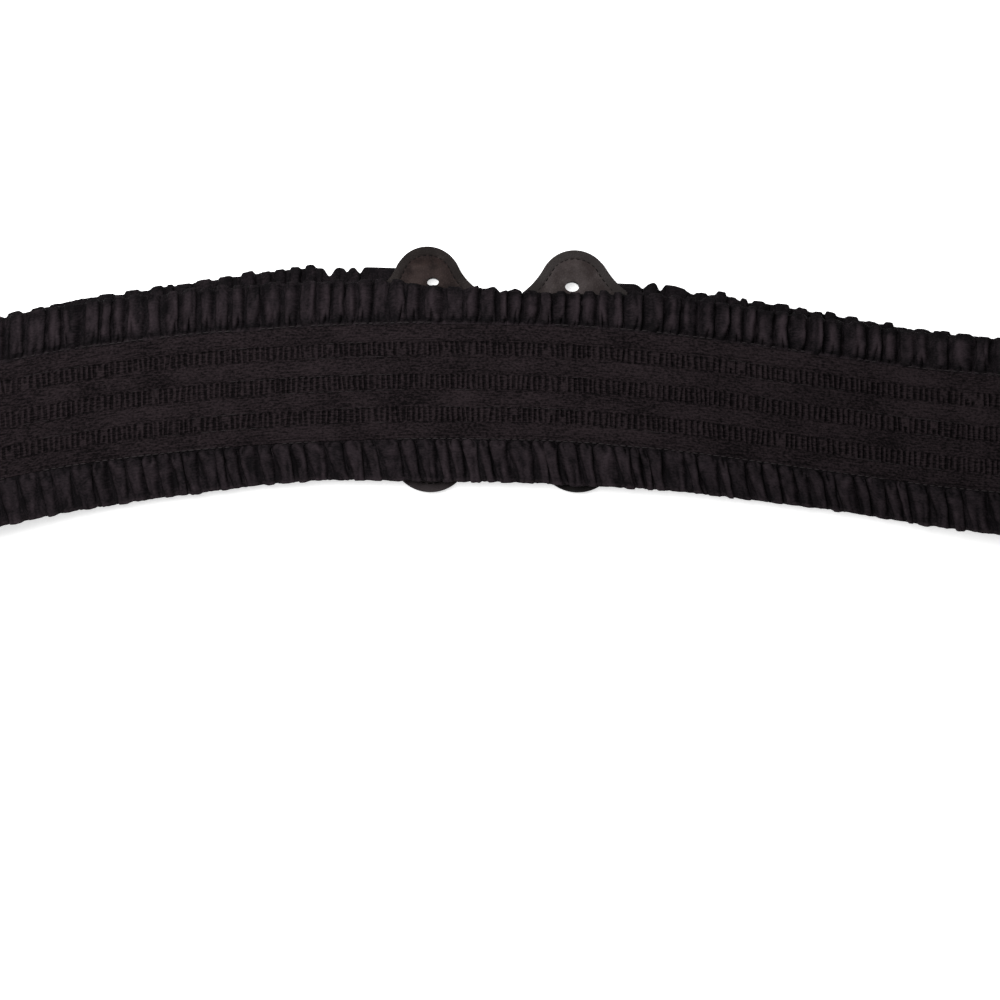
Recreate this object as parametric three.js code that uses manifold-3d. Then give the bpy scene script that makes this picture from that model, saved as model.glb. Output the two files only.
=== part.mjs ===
// Ruffle-edged shirred waist belt, fastened and lying flat with its back half on top.
// Millimetres. +X runs along the belt, +Y is towards the upper ruffle, +Z is up from the table.
import * as THREE from "three";
import Module from "manifold-3d";

const wasm = await Module();
wasm.setup();

// Driving dimensions.
const panel = { width: 40, half: 0.9, recess: 0.3 }; // shirred elastic band: width, half thickness, depth of a rib row
const ruffle = { wall: 1.0, seamGap: 0.3, seamDepth: 0.45, hemDepth: 1.5, period: 6.2, scallop: 0.45 };
const bend = { radius: 6, centre: 181 }; // fold at each end of the flattened loop
const level = { front: 2.1, frontAtLeather: 3.0, back: 6.6, backOverLeather: 7.8 };
const ply = { outer: 1.8, lining: 1.2, gap: 0.3, raised: 4.2, flatFrom: 35.4, flatAt: 39.2 };
const holeSides = 24;
const clasp = { half: 14.5, height: 26, thick: 1.8, corner: 3 };
const panelEnd = 19; // the band's two ends, inside the leather end pieces

// One row for each place along the belt. middle: height of the band's centreline.
// upper, lower: how far each ruffle stands out. shift: how far the front half lies above the back half.
const stations = [
  { x: -190, middle: -21.9, upper: 15.4, lower: 16.0, shift: 0.6 },
  { x: -150, middle: -13.4, upper: 16.1, lower: 15.6, shift: 2.1 },
  { x: -110, middle: -8.2, upper: 15.5, lower: 14.8, shift: 3.4 },
  { x: -70, middle: -5.3, upper: 15.9, lower: 13.1, shift: 5.3 },
  { x: -36, middle: -4.1, upper: 14.5, lower: 14.1, shift: 5.5 },
  { x: -20, middle: -3.95, upper: 12.6, lower: 14.5, shift: 5.3 },
  { x: 0, middle: -4.2, upper: 11.9, lower: 14.4, shift: 4.9 },
  { x: 24, middle: -5.1, upper: 11.8, lower: 14.6, shift: 4.3 },
  { x: 60, middle: -8.1, upper: 13.5, lower: 13.7, shift: 4.0 },
  { x: 110, middle: -14.7, upper: 12.8, lower: 13.1, shift: 2.4 },
  { x: 150, middle: -20.3, upper: 12.9, lower: 13.8, shift: 1.2 },
  { x: 190, middle: -24.3, upper: 13.4, lower: 15.1, shift: 0.2 },
];

// Leather end pieces: a plate with a round lobe at top and bottom, flaring into straight sides.
// lean: how far its middle moves along for each millimetre up. lobeLow: radius of the bottom lobe.
// holeWide, holeTall: half sizes of the oval hole in each lobe.
const plates = [
  {
    name: "left", x: -25.55, y: 0.55, lean: -0.013, tall: 42.95, lobe: 11.7, lobeLow: 14, flare: 18, flareX: 27.3,
    half: 19.2, holeX: 1.85, holeY: 30.4, holeWide: 2.1, holeTall: 1.45,
  },
  {
    name: "right", x: 25.9, y: -0.15, lean: -0.015, tall: 42.35, lobe: 12.2, lobeLow: 14.5, flare: 28, flareX: 35.05,
    half: 18.3, holeX: -1, holeY: 29.4, holeWide: 2.45, holeTall: 1.8,
  },
];
for (const p of plates)
  for (const [end, r] of [["top", p.lobe], ["low", p.lobeLow]]) {
    const lobeY = p.tall - r;
    const flareY = lobeY + Math.sqrt((r + p.flare) ** 2 - p.flareX ** 2);
    const join = lobeY + ((flareY - lobeY) * r) / (r + p.flare);
    p[end] = { r, lobeY, flareY, join, shoulder: flareY - Math.sqrt(p.flare ** 2 - (p.flareX - p.half) ** 2) };
  }

const smooth = (a, b, v) => {
  const f = Math.min(1, Math.max(0, (v - a) / (b - a)));
  return f * f * (3 - 2 * f);
};

// Smooth curve through the rows of the station table.
function along(column, x) {
  const last = stations.length - 1;
  let i = 0;
  while (i < last - 1 && x > stations[i + 1].x) i++;
  const at = (k) => stations[Math.min(last, Math.max(0, k))];
  const [a, b, c, d] = [at(i - 1), at(i), at(i + 1), at(i + 2)];
  const slope = (p, q) => (q.x === p.x ? 0 : (q[column] - p[column]) / (q.x - p.x));
  const span = c.x - b.x;
  const f = Math.min(1, Math.max(0, (x - b.x) / span));
  const s1 = i === 0 ? slope(b, c) : slope(a, c);
  const s2 = i >= last - 1 ? slope(b, c) : slope(b, d);
  const h = [2 * f ** 3 - 3 * f ** 2 + 1, f ** 3 - 2 * f ** 2 + f, 3 * f ** 2 - 2 * f ** 3, f ** 3 - f ** 2];
  return h[0] * b[column] + h[1] * span * s1 + h[2] * c[column] + h[3] * span * s2;
}

const frontLevel = (x) => level.frontAtLeather + (level.front - level.frontAtLeather) * smooth(50, 76, Math.abs(x));
function backLevel(x) {
  const low = level.backOverLeather + (level.back - level.backOverLeather) * smooth(54, 88, Math.abs(x));
  return low + (level.front + 2 * bend.radius - low) * smooth(128, bend.centre, Math.abs(x));
}

// The belt's path seen from its edge: front left, left fold, back, right fold, front right.
const path = [];
const step = 0.5;
for (let x = -panelEnd; x > -bend.centre; x -= step) path.push({ x, z: frontLevel(x), front: 1 });
for (let k = 0; k <= 36; k++) {
  const a = (Math.PI * k) / 36;
  path.push({
    x: -bend.centre - bend.radius * Math.sin(a),
    z: level.front + bend.radius * (1 - Math.cos(a)),
    front: 1 - smooth(0, 36, k),
  });
}
for (let x = -bend.centre + step; x < bend.centre; x += step) path.push({ x, z: backLevel(x), front: 0 });
for (let k = 0; k <= 36; k++) {
  const a = (Math.PI * k) / 36;
  path.push({
    x: bend.centre + bend.radius * Math.sin(a),
    z: level.front + bend.radius * (1 + Math.cos(a)),
    front: smooth(0, 36, k),
  });
}
for (let x = bend.centre - step; x >= panelEnd; x -= step) path.push({ x, z: frontLevel(x), front: 1 });
path[0].s = 0;
for (let i = 1; i < path.length; i++)
  path[i].s = path[i - 1].s + Math.hypot(path[i].x - path[i - 1].x, path[i].z - path[i - 1].z);
path.forEach((p, i) => {
  const a = path[Math.max(0, i - 1)],
    b = path[Math.min(path.length - 1, i + 1)];
  const l = Math.hypot(b.x - a.x, b.z - a.z);
  p.nx = -(b.z - a.z) / l;
  p.nz = (b.x - a.x) / l;
});
const total = path[path.length - 1].s;

function pathAt(s) {
  let lo = 0,
    hi = path.length - 1;
  while (hi - lo > 1) {
    const m = (lo + hi) >> 1;
    if (path[m].s <= s) lo = m;
    else hi = m;
  }
  const a = path[lo],
    b = path[hi],
    f = (s - a.s) / (b.s - a.s);
  const mix = (k) => a[k] + (b[k] - a[k]) * f;
  return { x: mix("x"), z: mix("z"), nx: mix("nx"), nz: mix("nz"), front: mix("front") };
}

// A point of the belt: s along the path, t across it, n out from its middle surface.
function place(s, t, n) {
  const p = pathAt(s);
  return [p.x + n * p.nx, along("middle", p.x) + p.front * along("shift", p.x) + t, p.z + n * p.nz];
}

// Closed solid through a row of rings. flip lists the sides whose diagonal runs the other way.
function loft(rings, capFaces, flip = []) {
  const n = rings[0].length;
  const index = [];
  for (let i = 0; i + 1 < rings.length; i++)
    for (let j = 0; j < n; j++) {
      const a = i * n + j,
        b = i * n + ((j + 1) % n),
        c = b + n,
        d = a + n;
      if (flip.includes(j)) index.push(a, b, d, b, c, d);
      else index.push(a, b, c, a, c, d);
    }
  const end = (rings.length - 1) * n;
  for (const [a, b, c] of capFaces) index.push(a, c, b, end + a, end + b, end + c);
  const g = new THREE.BufferGeometry();
  g.setAttribute("position", new THREE.Float32BufferAttribute(rings.flat(2), 3));
  g.setIndex(index);
  return facingOut(g);
}

// Turns a closed mesh round where its faces point inwards.
function facingOut(g) {
  const p = g.getAttribute("position"),
    ix = g.getIndex().array;
  let volume = 0;
  const v = (k) => new THREE.Vector3().fromBufferAttribute(p, ix[k]);
  for (let k = 0; k < ix.length; k += 3) volume += v(k).dot(v(k + 1).cross(v(k + 2))) / 6;
  if (volume < 0) for (let k = 0; k < ix.length; k += 3) [ix[k + 1], ix[k + 2]] = [ix[k + 2], ix[k + 1]];
  return g;
}

// Section of the shirred band: four flat stripes with three recessed rib rows between them.
const rows = [
  { from: 5.9, to: 10.8 },
  { from: 17.2, to: 22.4 },
  { from: 28.6, to: 33.8 },
];
const profile = [[-panel.width / 2, panel.half]];
for (const r of rows) {
  const [a, b] = [panel.width / 2 - r.to, panel.width / 2 - r.from];
  r.edges = [a, b];
}
for (const r of [...rows].reverse()) {
  const deep = panel.half - panel.recess;
  profile.push([r.edges[0], panel.half], [r.edges[0] + 0.5, deep], [r.edges[1] - 0.5, deep], [r.edges[1], panel.half]);
}
profile.push([panel.width / 2, panel.half], [panel.width / 2, -panel.half], [-panel.width / 2, -panel.half]);
const bandCap = THREE.ShapeUtils.triangulateShape(
  profile.map(([t, n]) => new THREE.Vector2(t, n)),
  [],
).map((face) => [...face].sort((a, b) => a - b));
const bandStops = [0];
for (let i = 1; i < path.length - 1; i++) {
  const turning = Math.abs(path[i].x) > bend.centre - 0.1;
  const rising = Math.abs(path[i].x) > 126 || (Math.abs(path[i].x) > 48 && Math.abs(path[i].x) < 90);
  const gap = turning ? 2.05 : rising ? 11 : 16;
  if (path[i].s - bandStops[bandStops.length - 1] >= gap) bandStops.push(path[i].s);
}
bandStops.push(total);
const bandGeometry = loft(
  bandStops.map((s) => profile.map(([t, n]) => place(s, t, n))),
  bandCap,
);

// Where along the front the ruffles end, between the two plies of each leather piece.
const ruffleFrom = 33.5 - panelEnd;
const ruffleTo = total - (35 - panelEnd);

// How far the folds stand at s: flat inside the leather, full away from it.
function foldDepth(s) {
  const p = pathAt(s);
  if (p.front < 0.5) return 1;
  return smooth(45, 53, Math.abs(p.x));
}

// Gathered strip along one edge of the band. side: 1 upper, -1 lower. lean: how far a fold's free end is carried along.
function ruffleGeometry(side, lean, seed) {
  const column = side > 0 ? "upper" : "lower";
  const rings = [];
  const quarter = [
    { at: 0.0, up: 1 },
    { at: 0.42, up: 1 },
    { at: 0.61, up: -1 },
    { at: 0.81, up: -1 },
  ];
  let s = ruffleFrom,
    k = 0;
  const ring = (at, up, size) => {
    const d = foldDepth(at);
    const seam = panel.width / 2 + ruffle.seamGap;
    const p = pathAt(at);
    const hem = panel.width / 2 + along(column, p.x) + (up * ruffle.scallop + size) * d;
    const out = ruffle.wall / 2;
    const spread = 0.34 * d;
    const carried = lean * d * (1 - p.front);
    const clamp = (v) => Math.min(ruffleTo, Math.max(ruffleFrom, v));
    const corner = (t, depth, top, f, lean2) => {
      const turn = ring.dir * (top ? 1 : -1) * spread * f;
      return place(clamp(at + turn + lean2), side * t, up * depth * d + (top ? out : -out));
    };
    rings.push([
      corner(seam, ruffle.seamDepth, true, 0.5, 0),
      corner(hem, ruffle.hemDepth, true, 1, carried),
      corner(hem, ruffle.hemDepth, false, 1, carried),
      corner(seam, ruffle.seamDepth, false, 0.5, 0),
    ]);
  };
  ring.dir = 0;
  ring(ruffleFrom, 0, 0);
  while (true) {
    const width = ruffle.period * (1 + 0.12 * Math.sin(2.1 * k + seed) + 0.08 * Math.sin(5.3 * k + 2 * seed));
    if (s + width > ruffleTo - 0.8) break;
    const size = 0.45 * Math.sin(3.7 * k + seed);
    quarter.forEach((q, i) => {
      ring.dir = [-1, 1, 1, -1][i];
      ring(s + 0.8 + q.at * width, q.up, size);
    });
    s += width;
    k++;
  }
  ring.dir = 0;
  ring(ruffleTo, 0, 0);
  return loft(rings, [[0, 1, 2], [0, 2, 3]], [2]);
}

// Half width of a leather piece at height y from its middle.
function halfWidth(p, y) {
  const h = Math.abs(y);
  const e = y > 0 ? p.top : p.low;
  if (h <= e.shoulder) return p.half;
  if (h < e.join) return p.flareX - Math.sqrt(Math.max(0, p.flare ** 2 - (e.flareY - h) ** 2));
  return Math.sqrt(Math.max(0, e.r ** 2 - (h - e.lobeY) ** 2));
}

function solid(geometry) {
  const g = geometry;
  return new wasm.Manifold(
    new wasm.Mesh({
      numProp: 3,
      vertProperties: new Float32Array(g.getAttribute("position").array),
      triVerts: new Uint32Array(g.getIndex().array),
    }),
  );
}
function geometryOf(made) {
  const m = made.getMesh();
  const g = new THREE.BufferGeometry();
  const v = new Float32Array(m.numVert * 3);
  for (let i = 0; i < m.numVert; i++) for (let k = 0; k < 3; k++) v[i * 3 + k] = m.vertProperties[i * m.numProp + k];
  g.setAttribute("position", new THREE.BufferAttribute(v, 3));
  g.setIndex(new THREE.BufferAttribute(new Uint32Array(m.triVerts), 1));
  return g;
}

// One ply of a leather piece: rows from the bottom lobe to the top one, low and high faces by height from the middle.
function plyGeometry(p, low, high) {
  const ends = [p.top, p.low].map((e) => {
    const heights = [e.shoulder];
    for (const f of [0.01, 0.06, 0.2, 0.42, 0.7]) heights.push(e.shoulder + f * (e.join - e.shoulder));
    const rise = Math.asin((e.join - e.lobeY) / e.r);
    for (let k = 0; k <= 11; k++) {
      const a = rise + (Math.PI / 2 - rise) * (k / 11) * 0.985;
      heights.push(e.lobeY + e.r * Math.sin(a));
    }
    return heights;
  });
  const all = [...ends[1].reverse().map((h) => -h), 0, ...ends[0]];
  const rings = all.map((h) => {
    const w = Math.max(0.25, halfWidth(p, h));
    const [x, y] = [p.x + p.lean * h, p.y + h];
    return [
      [x - w, y, high(h)],
      [x + w, y, high(h)],
      [x + w, y, low(h)],
      [x - w, y, low(h)],
    ];
  });
  let made = solid(loft(rings, [[0, 1, 2], [0, 2, 3]]));
  for (const side of [1, -1]) {
    const cut = new THREE.CylinderGeometry(1, 1, 20, holeSides);
    cut.rotateX(Math.PI / 2);
    cut.scale(p.holeWide, p.holeTall, 1);
    cut.translate(p.x + side * p.holeY * p.lean + p.holeX, p.y + side * p.holeY, 2);
    cut.deleteAttribute("normal");
    cut.deleteAttribute("uv");
    made = made.subtract(solid(merged(cut)));
  }
  return geometryOf(made);
}

// Joins equal points, so that a stock geometry closes.
function merged(g) {
  const p = g.getAttribute("position");
  const seen = new Map(),
    points = [],
    to = [];
  for (let i = 0; i < p.count; i++) {
    const v = [p.getX(i), p.getY(i), p.getZ(i)];
    const key = v.map((c) => Math.round(c * 1e4)).join();
    if (!seen.has(key)) {
      seen.set(key, points.length);
      points.push(v);
    }
    to.push(seen.get(key));
  }
  const index = [];
  const ix = g.getIndex().array;
  for (let k = 0; k < ix.length; k += 3) {
    const f = [to[ix[k]], to[ix[k + 1]], to[ix[k + 2]]];
    if (new Set(f).size === 3) index.push(...f);
  }
  const out = new THREE.BufferGeometry();
  out.setAttribute("position", new THREE.Float32BufferAttribute(points.flat(), 3));
  out.setIndex(index);
  return facingOut(out);
}

// Plain plate that holds the two leather pieces together.
function claspGeometry() {
  const [w, h, r] = [clasp.half, clasp.height / 2, clasp.corner];
  const outline = new THREE.Shape();
  outline.moveTo(-w + r, -h);
  outline.lineTo(w - r, -h);
  outline.absarc(w - r, -h + r, r, -Math.PI / 2, 0);
  outline.absarc(w - r, h - r, r, 0, Math.PI / 2);
  outline.absarc(-w + r, h - r, r, Math.PI / 2, Math.PI);
  outline.absarc(-w + r, -h + r, r, Math.PI, 1.5 * Math.PI);
  const g = new THREE.ExtrudeGeometry(outline, { depth: clasp.thick, bevelEnabled: false, curveSegments: 6 });
  g.translate(0, -0.2, ply.outer + ply.gap);
  g.deleteAttribute("normal");
  g.deleteAttribute("uv");
  if (!g.getIndex()) g.setIndex([...Array(g.getAttribute("position").count).keys()]);
  return merged(g);
}

const group = new THREE.Group();
const add = (name, geometry, colour, rough, metal = 0) => {
  const mesh = new THREE.Mesh(
    geometry,
    new THREE.MeshStandardMaterial({ color: colour, roughness: rough, metalness: metal }),
  );
  mesh.name = name;
  group.add(mesh);
};
add("elastic_band", bandGeometry, 0x1f1b1c, 0.9);
add("ruffle_upper", ruffleGeometry(1, 0.6, 0.4), 0x241f21, 0.85);
add("ruffle_lower", ruffleGeometry(-1, 2.8, 1.7), 0x241f21, 0.85);
const liningLow = (h) => {
  const f = smooth(ply.flatFrom, ply.flatAt, Math.abs(h));
  return ply.raised + (ply.outer + ply.gap - ply.raised) * f;
};
for (const p of plates) {
  add("leather_outer_" + p.name, plyGeometry(p, () => 0, () => ply.outer), 0x2a2422, 0.6);
  add("leather_lining_" + p.name, plyGeometry(p, liningLow, (h) => liningLow(h) + ply.lining), 0x342c2a, 0.7);
}
add("clasp", claspGeometry(), 0x3a3a3c, 0.4, 1);

// The part's origin is the middle of its footprint, on the table.
const box = new THREE.Box3().setFromObject(group);
const middle = box.getCenter(new THREE.Vector3());
for (const mesh of group.children) mesh.geometry.translate(-middle.x, -middle.y, -box.min.z);

export default group;
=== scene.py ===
import bmesh
import bpy
import numpy as np
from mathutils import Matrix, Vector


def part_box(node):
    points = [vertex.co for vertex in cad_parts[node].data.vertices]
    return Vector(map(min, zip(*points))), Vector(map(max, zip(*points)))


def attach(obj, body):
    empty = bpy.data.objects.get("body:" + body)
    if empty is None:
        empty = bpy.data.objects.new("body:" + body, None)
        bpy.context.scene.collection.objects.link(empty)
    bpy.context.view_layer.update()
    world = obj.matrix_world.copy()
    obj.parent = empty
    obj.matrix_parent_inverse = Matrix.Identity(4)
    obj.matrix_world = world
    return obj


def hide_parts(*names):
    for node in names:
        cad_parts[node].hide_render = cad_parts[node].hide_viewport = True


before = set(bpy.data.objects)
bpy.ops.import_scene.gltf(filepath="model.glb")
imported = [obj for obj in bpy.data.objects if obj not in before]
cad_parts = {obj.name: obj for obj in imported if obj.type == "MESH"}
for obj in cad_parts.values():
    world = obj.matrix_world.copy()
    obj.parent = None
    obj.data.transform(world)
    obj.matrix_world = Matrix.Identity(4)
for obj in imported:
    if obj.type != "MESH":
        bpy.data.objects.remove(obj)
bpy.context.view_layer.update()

# Lengths below are in millimetres along the belt's own path; meshes are written in metres.
# Rows run from the belt's left fold to its right one. middle is the height of its centreline,
# upper and lower say how far each ruffle stands out, shift how far the front lies above the back.
beltLine = {
    "x": [-190, -150, -110, -70, -36, -20, 0, 24, 60, 110, 150, 190],
    "middle": [-21.9, -13.4, -8.2, -5.3, -4.1, -3.95, -4.2, -5.1, -8.1, -14.7, -20.3, -24.3],
    "upper": [15.4, 16.1, 15.5, 15.9, 14.5, 12.6, 11.9, 11.8, 13.5, 12.8, 12.9, 13.4],
    "lower": [16.0, 15.6, 14.8, 13.1, 14.1, 14.5, 14.4, 14.6, 13.7, 13.1, 13.8, 15.1],
    "shift": [0.6, 2.1, 3.4, 5.3, 5.5, 5.3, 4.9, 4.3, 4.0, 2.4, 1.2, 0.2],
}
# heights of the front and back half, and where they go over to the leather's and the folds'
beltPath = {"bendRadius": 6.0, "bendCentre": 181.0, "foldPoints": 37, "front": 2.1,
            "frontAtLeather": 3.0, "frontRamp": (50, 76), "back": 6.6, "backOverLeather": 7.8,
            "backRamp": (54, 88), "foldFrom": 128, "panelEnd": 19.0, "step": 0.5}

# the clasp's lowest corner in these millimetres says where they start in the model
claspCorner = (-14.5, -13.2)
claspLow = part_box("clasp")[0]
originShift = np.append(np.array(claspLow[:2]) * 1000 - claspCorner, 0)


def addObject(name, data):
    added = bpy.data.objects.new(name, data)
    bpy.context.collection.objects.link(added)
    return added


def toUnit(vectors):
    # vectors divided by their lengths
    return vectors / np.maximum(np.linalg.norm(vectors, axis=-1, keepdims=True), 1e-12)


def joinUp(*parts):
    # numbers of the same grid side by side for each of its points
    return np.stack(np.broadcast_arrays(*parts), -1)


def runAlong(x, y):
    # length along the line through the points, up to each of them
    return np.concatenate([[0], np.cumsum(np.hypot(np.diff(x), np.diff(y)))])


def smoothStep(a, b, v):
    # eased ramp: 0 before a, 1 after b, with f*f*(3 - 2f) between
    f = np.clip((v - a) / (b - a), 0, 1)
    return f * f * (3 - 2 * f)


def alongBelt(column, x):
    # cubic between each two rows of the table; its slope at a row is that of the line
    # through the rows on either side
    xs, ys = np.array(beltLine["x"], float), np.array(beltLine[column], float)
    slope = np.gradient(ys, xs)
    slope[1:-1] = (ys[2:] - ys[:-2]) / (xs[2:] - xs[:-2])
    i = np.clip(np.searchsorted(xs, x) - 1, 0, len(xs) - 2)
    span = xs[i + 1] - xs[i]
    f = np.clip((x - xs[i]) / span, 0, 1)
    return ((2 * f**3 - 3 * f**2 + 1) * ys[i] + (f**3 - 2 * f**2 + f) * span * slope[i]
            + (3 * f**2 - 2 * f**3) * ys[i + 1] + (f**3 - f**2) * span * slope[i + 1])


def frontLevel(x):
    # height of the front half: from its level at the leather down to the one further out
    low, high = beltPath["front"], beltPath["frontAtLeather"]
    return high + (low - high) * smoothStep(*beltPath["frontRamp"], np.abs(x))


def backLevel(x):
    # height of the back half: from its level over the leather down, then up to the folds' tops
    over, low = beltPath["backOverLeather"], beltPath["back"]
    level = over + (low - over) * smoothStep(*beltPath["backRamp"], np.abs(x))
    top = beltPath["front"] + 2 * beltPath["bendRadius"]
    up = smoothStep(beltPath["foldFrom"], beltPath["bendCentre"], np.abs(x))
    return level + (top - level) * up


def tracePath():
    # edge-on outline of the flattened loop: front left, half circle, back, half circle, front
    # right. s is the length along it, (nx, nz) its normal, front 1 on the front half, else 0
    c, r, e = beltPath["bendCentre"], beltPath["bendRadius"], beltPath["panelEnd"]
    step = beltPath["step"]
    xFront = np.arange(e, c, step)
    xBack = np.arange(-c + step, c, step)
    a = np.linspace(0, np.pi, beltPath["foldPoints"])
    k = np.linspace(0, 1, beltPath["foldPoints"])
    z0 = beltPath["front"]
    x = np.concatenate([-xFront, -c - r * np.sin(a), xBack, c + r * np.sin(a), xFront[::-1]])
    z = np.concatenate([frontLevel(xFront), z0 + r * (1 - np.cos(a)), backLevel(xBack),
                        z0 + r * (1 + np.cos(a)), frontLevel(xFront[::-1])])
    front = np.concatenate([np.ones_like(xFront), 1 - smoothStep(0, 1, k), np.zeros_like(xBack),
                            smoothStep(0, 1, k), np.ones_like(xFront)])
    s = runAlong(x, z)
    dx, dz = np.gradient(x, s), np.gradient(z, s)
    length = np.hypot(dx, dz)
    return {"s": s, "x": x, "z": z, "nx": -dz / length, "nz": dx / length, "front": front}


trace = tracePath()
beltLength = float(trace["s"][-1])


def pathAt(key, s):
    # value of the trace at the length s
    return np.interp(s, trace["s"], trace[key])


def onBelt(s, t, n):
    # point of the belt in metres, for s along the path, t across it and n out from its middle
    # surface: path + n * normal, and y = middle + front * shift + t
    s, t, n = np.broadcast_arrays(s, t, n)
    px = pathAt("x", s)
    x = px + n * pathAt("nx", s)
    y = alongBelt("middle", px) + pathAt("front", s) * alongBelt("shift", px) + t
    z = pathAt("z", s) + n * pathAt("nz", s)
    return (np.stack([x, y, z], -1) + originShift) / 1000


def stopsAlong(first, last, straight, turning):
    # places along the path, turning apart at the folds and straight apart elsewhere: the count of
    # places grows by 1 / gap for each millimetre
    s = np.linspace(first, last, 6000)
    gap = np.where(np.abs(pathAt("x", s)) > beltPath["bendCentre"] - 2, turning, straight)
    count = np.concatenate([[0], np.cumsum(np.diff(s) / gap[1:])])
    return np.interp(np.linspace(0, count[-1], int(count[-1]) + 1), count, s)


def gridFaces(rows, columns, wrap):
    # quads between neighbouring rows and columns of a grid, numbered row by row
    i = np.arange(rows - 1)[:, None] * columns
    j = np.arange(columns if wrap else columns - 1)[None, :]
    k = (j + 1) % columns
    return np.stack([i + j, i + k, i + columns + k, i + columns + j], -1).reshape(-1, 4)


def setValue(mesh, name, values):
    # one number for each point, or the same for all of them, which the materials read by its name
    layer = mesh.attributes.new(name=name, type="FLOAT", domain="POINT")
    spread = np.broadcast_to(np.ravel(values), len(mesh.vertices))
    layer.data.foreach_set("value", spread.astype(np.float32))


def makePiece(name, points, faces, uv=None, paintedLightAndBorder=None, closed=True):
    # mesh from arrays; uv holds a pair of numbers for each point and the next argument one: on the
    # cloth painted shade at 0 to painted light at 1, on the leather 1 in its border
    points, faces = np.asarray(points, float).reshape(-1, 3), np.asarray(faces, int)
    mesh = bpy.data.meshes.new(name)
    mesh.vertices.add(len(points))
    mesh.vertices.foreach_set("co", points.ravel())
    mesh.loops.add(faces.size)
    mesh.loops.foreach_set("vertex_index", faces.ravel())
    mesh.polygons.add(len(faces))
    mesh.polygons.foreach_set("loop_start", np.arange(0, faces.size, faces.shape[1]))
    mesh.update(calc_edges=True)
    if uv is not None:
        layer = mesh.uv_layers.new(name="flatCloth")
        layer.data.foreach_set("uv", np.asarray(uv, float).reshape(-1, 2)[faces.ravel()].ravel())
    if paintedLightAndBorder is not None:
        setValue(mesh, "paintedLightAndBorder", paintedLightAndBorder)
    mesh.validate()
    if closed:
        work = bmesh.new()
        work.from_mesh(mesh)
        bmesh.ops.remove_doubles(work, verts=work.verts, dist=1e-7)
        bmesh.ops.holes_fill(work, edges=[e for e in work.edges if e.is_boundary], sides=0)
        bmesh.ops.recalc_face_normals(work, faces=work.faces)
        work.to_mesh(mesh)
        work.free()
    mesh.shade_smooth()
    return addObject(name, mesh)


def smoothNoise(rng, count, reach):
    # random numbers averaged with a bell of half width reach, scaled to a spread of one half
    raw = rng.normal(size=count + 4 * reach)
    bell = np.exp(-0.5 * (np.arange(-2 * reach, 2 * reach + 1) / max(reach, 1)) ** 2)
    out = np.convolve(raw, bell / bell.sum(), "same")[2 * reach:2 * reach + count]
    return out / max(out.std(), 1e-9) * 0.5


# Materials


def newGroup(name, inputs, outputs):
    # shader node group. An input's kind follows its first value: none for a vector, four numbers
    # for a colour, one for a number; an output is a number unless it is called Color
    group = bpy.data.node_groups.new(name, "ShaderNodeTree")
    kinds = {type(None): "NodeSocketVector", tuple: "NodeSocketColor", float: "NodeSocketFloat"}
    for label, value in inputs.items():
        socket = group.interface.new_socket(label, in_out="INPUT", socket_type=kinds[type(value)])
        if value is not None:
            socket.default_value = value
    for label in outputs:
        kind = kinds[tuple if label == "Color" else float]
        group.interface.new_socket(label, in_out="OUTPUT", socket_type=kind)
    return group, group.nodes.new("NodeGroupInput"), group.nodes.new("NodeGroupOutput")


def feedSocket(tree, socket, value):
    # another node's output is linked to the socket, a plain value is set on it
    if hasattr(value, "is_linked"):
        tree.links.new(value, socket)
    elif value is not None:
        socket.default_value = value


def addMath(tree, operation, a, b=None, clamp=False):
    node = tree.nodes.new("ShaderNodeMath")
    node.operation, node.use_clamp = operation, clamp
    feedSocket(tree, node.inputs[0], a)
    feedSocket(tree, node.inputs[1], b)
    return node.outputs[0]


def addMix(tree, factor, a, b):
    # colour that goes from a to b with the factor; sockets 6 and 7 are the mix's two colours
    node = tree.nodes.new("ShaderNodeMix")
    node.data_type = "RGBA"
    for socket, value in (("Factor", factor), (6, a), (7, b)):
        feedSocket(tree, node.inputs[socket], value)
    return node.outputs[2]


def addShare(tree, value, share):
    # share times the value's distance from one half
    return addMath(tree, "MULTIPLY", addMath(tree, "SUBTRACT", value, 0.5), share)


def addNoise(tree, vector, scale, detail, stretch=(1, 1, 1)):
    # noise on the vector times the stretch
    mapping = tree.nodes.new("ShaderNodeMapping")
    mapping.inputs["Scale"].default_value = stretch
    tree.links.new(vector, mapping.inputs["Vector"])
    noise = tree.nodes.new("ShaderNodeTexNoise")
    noise.inputs["Scale"].default_value = scale
    noise.inputs["Detail"].default_value = detail
    tree.links.new(mapping.outputs[0], noise.inputs["Vector"])
    return noise.outputs["Fac"]


# share of the threads in the height, and how the yarn's and specks' noise is squeezed each way
weaveLook = {"threads": 0.25, "fullTurn": 6.2832, "yarn": (3.0, 14.0, 1.0),
             "speck": (9.5, 16.0, 1.0), "toneSize": 0.9}


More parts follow.
